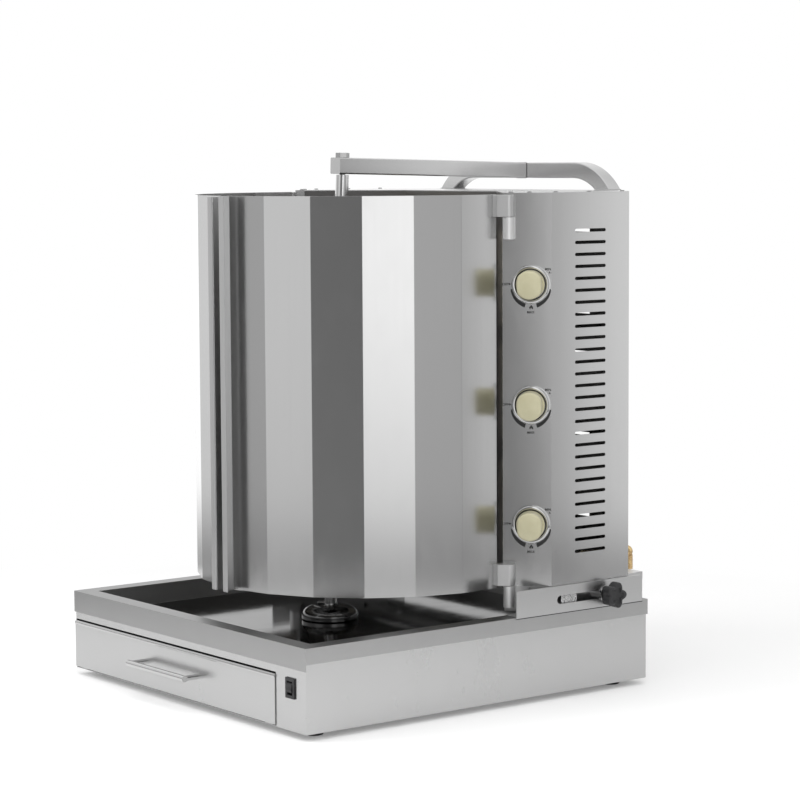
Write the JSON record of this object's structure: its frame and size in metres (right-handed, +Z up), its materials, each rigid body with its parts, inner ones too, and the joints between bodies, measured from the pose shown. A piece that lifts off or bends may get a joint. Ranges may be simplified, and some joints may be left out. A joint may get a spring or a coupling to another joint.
{
  "type": "gas kebab grill",
  "caption": "Upright gas kebab grill with faceted swinging doors, a motor-turned spit on a splash dome, a burner tower that slides on rollers, a grease tray and a drawer",
  "frame": {"origin": "on the table under the middle of the whole grill, which is the centre of the doors' circle", "axes": "+X to the user's right, +Y from the doors back to the burners, +Z up"},
  "size_m": [0.6994, 0.7622, 0.8321],
  "materials": {
    "steel_panel": "satin stainless sheet, brushed along its length",
    "steel_tray": "smooth polished stainless sheet",
    "steel_bright": "bright machined stainless steel",
    "dome_steel": "dark polished steel",
    "chrome_ring": "polished chrome",
    "heated_steel": "stainless sheet, faintly heat-tinted",
    "burner_ceramic": "porous cream ceramic",
    "brass": "turned brass",
    "cream_plastic": "moulded cream thermoset",
    "black_plastic": "moulded black plastic",
    "rubber": "black rubber",
    "grey_enamel": "dark grey enamel"
  },
  "bodies": {
    "root": {"base_casing": "steel_panel", "bottom_plate": "steel_panel", "grease_tray": "steel_tray", "feet": "rubber", "drawer_runners": "steel_panel", "slide_bracket_left": "steel_panel", "slide_bracket_right": "steel_panel", "drive_gearbox": "grey_enamel", "drive_motor": "grey_enamel", "shaft_seal": "rubber", "power_gland": "black_plastic", "switch_frame": "black_plastic"},
    "switch": {"switch_rocker": "black_plastic"},
    "drawer": {"drawer_box": "steel_tray", "drawer_front": "steel_panel", "drawer_handle": "steel_bright"},
    "drive": {"drive_shaft": "steel_bright", "splash_dome": "dome_steel"},
    "spit_seat": {"thrust_ball": "steel_bright"},
    "spit": {"spit_rod": "steel_bright", "cross_pin": "steel_bright", "meat_plate": "steel_bright"},
    "tower": {"side_casing_left": "steel_panel", "side_casing_right": "steel_panel", "rear_cover": "steel_panel", "top_plate": "steel_panel", "top_screws": "steel_bright", "slide_frame": "steel_panel", "heat_shield": "heated_steel", "burner_housings": "heated_steel", "burner_plaques": "burner_ceramic", "burner_guards": "heated_steel", "gas_manifold": "brass", "gas_valves": "brass", "burner_pipes": "brass", "thermocouples": "heated_steel", "gas_inlet": "brass", "knob_rings": "chrome_ring", "arch": "steel_panel", "arm": "steel_panel", "top_bolt": "steel_bright", "tower_hinges": "steel_bright", "hinge_pins": "steel_bright", "clamp_washers": "chrome_ring"},
    "front_roller_set": {"front_rollers": "steel_bright"},
    "rear_roller_set": {"rear_rollers": "steel_bright"},
    "left_door": {"door_left": "steel_panel", "door_grip_left": "steel_panel", "door_hinges_left": "steel_bright"},
    "right_door": {"door_right": "steel_panel", "door_grip_right": "steel_panel", "door_hinges_right": "steel_bright"},
    "left_clamp": {"clamp_knob_left": "black_plastic"},
    "right_clamp": {"clamp_knob_right": "black_plastic"},
    "stem_low": {"valve_stem_low": "steel_bright"},
    "knob_low": {"gas_knob_low": "cream_plastic"},
    "stem_middle": {"valve_stem_middle": "steel_bright"},
    "knob_middle": {"gas_knob_middle": "cream_plastic"},
    "stem_high": {"valve_stem_high": "steel_bright"},
    "knob_high": {"gas_knob_high": "cream_plastic"}
  },
  "joints": [
    {"name": "tower_slide", "type": "slide", "parent": "root", "child": "tower", "axis": [0, -1, 0], "range_m": [0, 0.09]},
    {"name": "front_roll", "type": "hinge", "parent": "tower", "child": "front_roller_set", "pos_m": [0, 0.1445, 0.1535], "axis": [1, 0, 0], "range_deg": [0, 320]},
    {"name": "rear_roll", "type": "hinge", "parent": "tower", "child": "rear_roller_set", "pos_m": [0, 0.268, 0.1535], "axis": [1, 0, 0], "range_deg": [0, 320]},
    {"name": "right_door_swing", "type": "hinge", "parent": "tower", "child": "right_door", "pos_m": [0.28218, 0.05515, 0.4], "axis": [0, 0, 1], "range_deg": [0, 82]},
    {"name": "left_door_swing", "type": "hinge", "parent": "tower", "child": "left_door", "pos_m": [-0.28218, 0.05515, 0.4], "axis": [0, 0, -1], "range_deg": [0, 82]},
    {"name": "right_clamp_turn", "type": "hinge", "parent": "tower", "child": "right_clamp", "pos_m": [0.32, 0.2157, 0.1535], "axis": [1, 0, 0], "range_deg": [0, 360]},
    {"name": "left_clamp_turn", "type": "hinge", "parent": "tower", "child": "left_clamp", "pos_m": [-0.32, 0.2157, 0.1535], "axis": [-1, 0, 0], "range_deg": [0, 360]},
    {"name": "drawer_slide", "type": "slide", "parent": "root", "child": "drawer", "axis": [0, -1, 0], "range_m": [0, 0.16]},
    {"name": "switch_rock", "type": "hinge", "parent": "root", "child": "switch", "pos_m": [0.2805, -0.3447, 0.0725], "axis": [1, 0, 0], "range_deg": [0, 16]},
    {"name": "drive_spin", "type": "hinge", "parent": "root", "child": "drive", "pos_m": [0, -0.0756, 0.1], "axis": [0, 0, 1], "continuous": true},
    {"name": "spit_tilt", "type": "hinge", "parent": "root", "child": "spit_seat", "pos_m": [0, -0.0756, 0.116], "axis": [1, 0, 0], "range_deg": [0, 7.7]},
    {"name": "spit_spin", "type": "hinge", "parent": "spit_seat", "child": "spit", "pos_m": [0, -0.0756, 0.116], "axis": [0, 0.0445, 0.999], "continuous": true},
    {"name": "stem_push_low", "type": "slide", "parent": "tower", "child": "stem_low", "axis": [-0.7071, 0.7071, 0], "range_m": [0, 0.003], "stiffness_N_per_m": 1000},
    {"name": "knob_turn_low", "type": "hinge", "parent": "stem_low", "child": "knob_low", "pos_m": [0.29858, 0.08499, 0.2704], "axis": [0.7071, -0.7071, 0], "range_deg": [0, 220]},
    {"name": "stem_push_middle", "type": "slide", "parent": "tower", "child": "stem_middle", "axis": [-0.7071, 0.7071, 0], "range_m": [0, 0.003], "stiffness_N_per_m": 1000},
    {"name": "knob_turn_middle", "type": "hinge", "parent": "stem_middle", "child": "knob_middle", "pos_m": [0.29858, 0.08499, 0.45205], "axis": [0.7071, -0.7071, 0], "range_deg": [0, 220]},
    {"name": "stem_push_high", "type": "slide", "parent": "tower", "child": "stem_high", "axis": [-0.7071, 0.7071, 0], "range_m": [0, 0.003], "stiffness_N_per_m": 1000},
    {"name": "knob_turn_high", "type": "hinge", "parent": "stem_high", "child": "knob_high", "pos_m": [0.29858, 0.08499, 0.6337], "axis": [0.7071, -0.7071, 0], "range_deg": [0, 220]}
  ],
  "couplings": [
    {"joint": "front_roll", "follows": "tower_slide", "rad_per_m": 61.7},
    {"joint": "rear_roll", "follows": "tower_slide", "rad_per_m": 61.7},
    {"joint": "spit_tilt", "follows": "tower_slide", "rad_per_m": 1.4795},
    {"joint": "spit_spin", "follows": "drive_spin", "ratio": 1}
  ]
}
